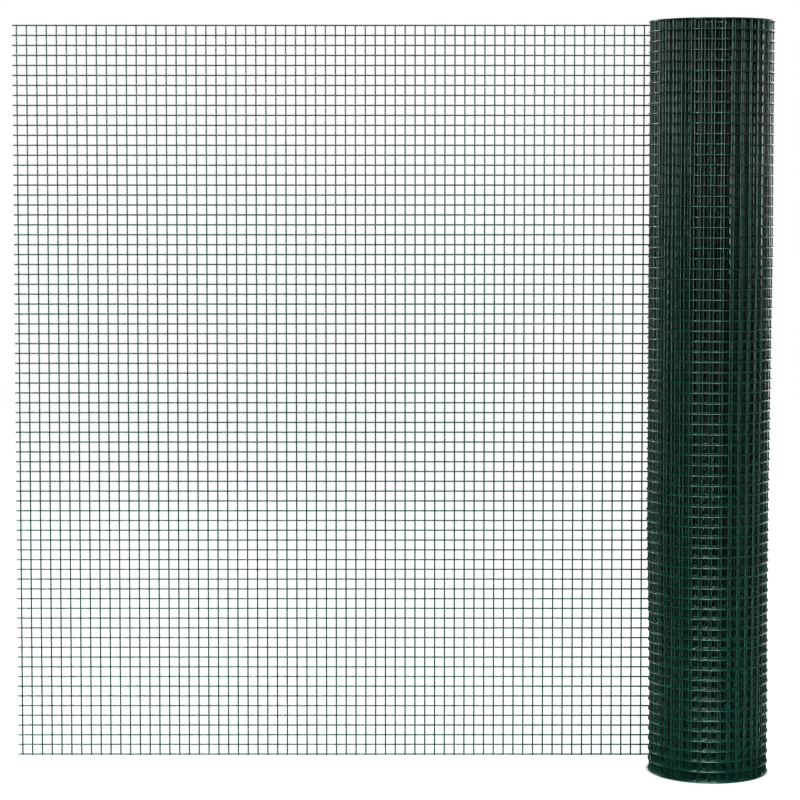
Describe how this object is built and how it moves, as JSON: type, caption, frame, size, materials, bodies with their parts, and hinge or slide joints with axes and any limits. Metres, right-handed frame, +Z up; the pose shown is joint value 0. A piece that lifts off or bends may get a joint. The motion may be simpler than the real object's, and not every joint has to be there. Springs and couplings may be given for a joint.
{
  "type": "roll of wire fencing",
  "caption": "Standing roll of plastic-coated welded square wire mesh with an open bore, its outer end unrolled into a flat upright run.",
  "frame": {"origin": "centre of the bore at the roll's foot, on the floor", "axes": "+Z up along the roll's axis; -X along the flat run, away from the roll; +Y towards the side of the roll that the run leaves from"},
  "size_m": [1.0215, 0.168, 1.0008],
  "materials": {
    "coated_wire": "glossy dark green plastic over galvanised steel wire"
  },
  "bodies": {
    "root": {"wound_roll": "coated_wire", "flat_run_1_1": "coated_wire", "flat_run_1_2": "coated_wire", "flat_run_1_3": "coated_wire", "flat_run_1_4": "coated_wire", "flat_run_2_1": "coated_wire", "flat_run_2_2": "coated_wire", "flat_run_2_3": "coated_wire", "flat_run_2_4": "coated_wire", "flat_run_3_1": "coated_wire", "flat_run_3_2": "coated_wire", "flat_run_3_3": "coated_wire", "flat_run_3_4": "coated_wire", "flat_run_4_1": "coated_wire", "flat_run_4_2": "coated_wire", "flat_run_4_3": "coated_wire", "flat_run_4_4": "coated_wire", "flat_run_5_1": "coated_wire", "flat_run_5_2": "coated_wire", "flat_run_5_3": "coated_wire", "flat_run_5_4": "coated_wire"}
  },
  "joints": []
}
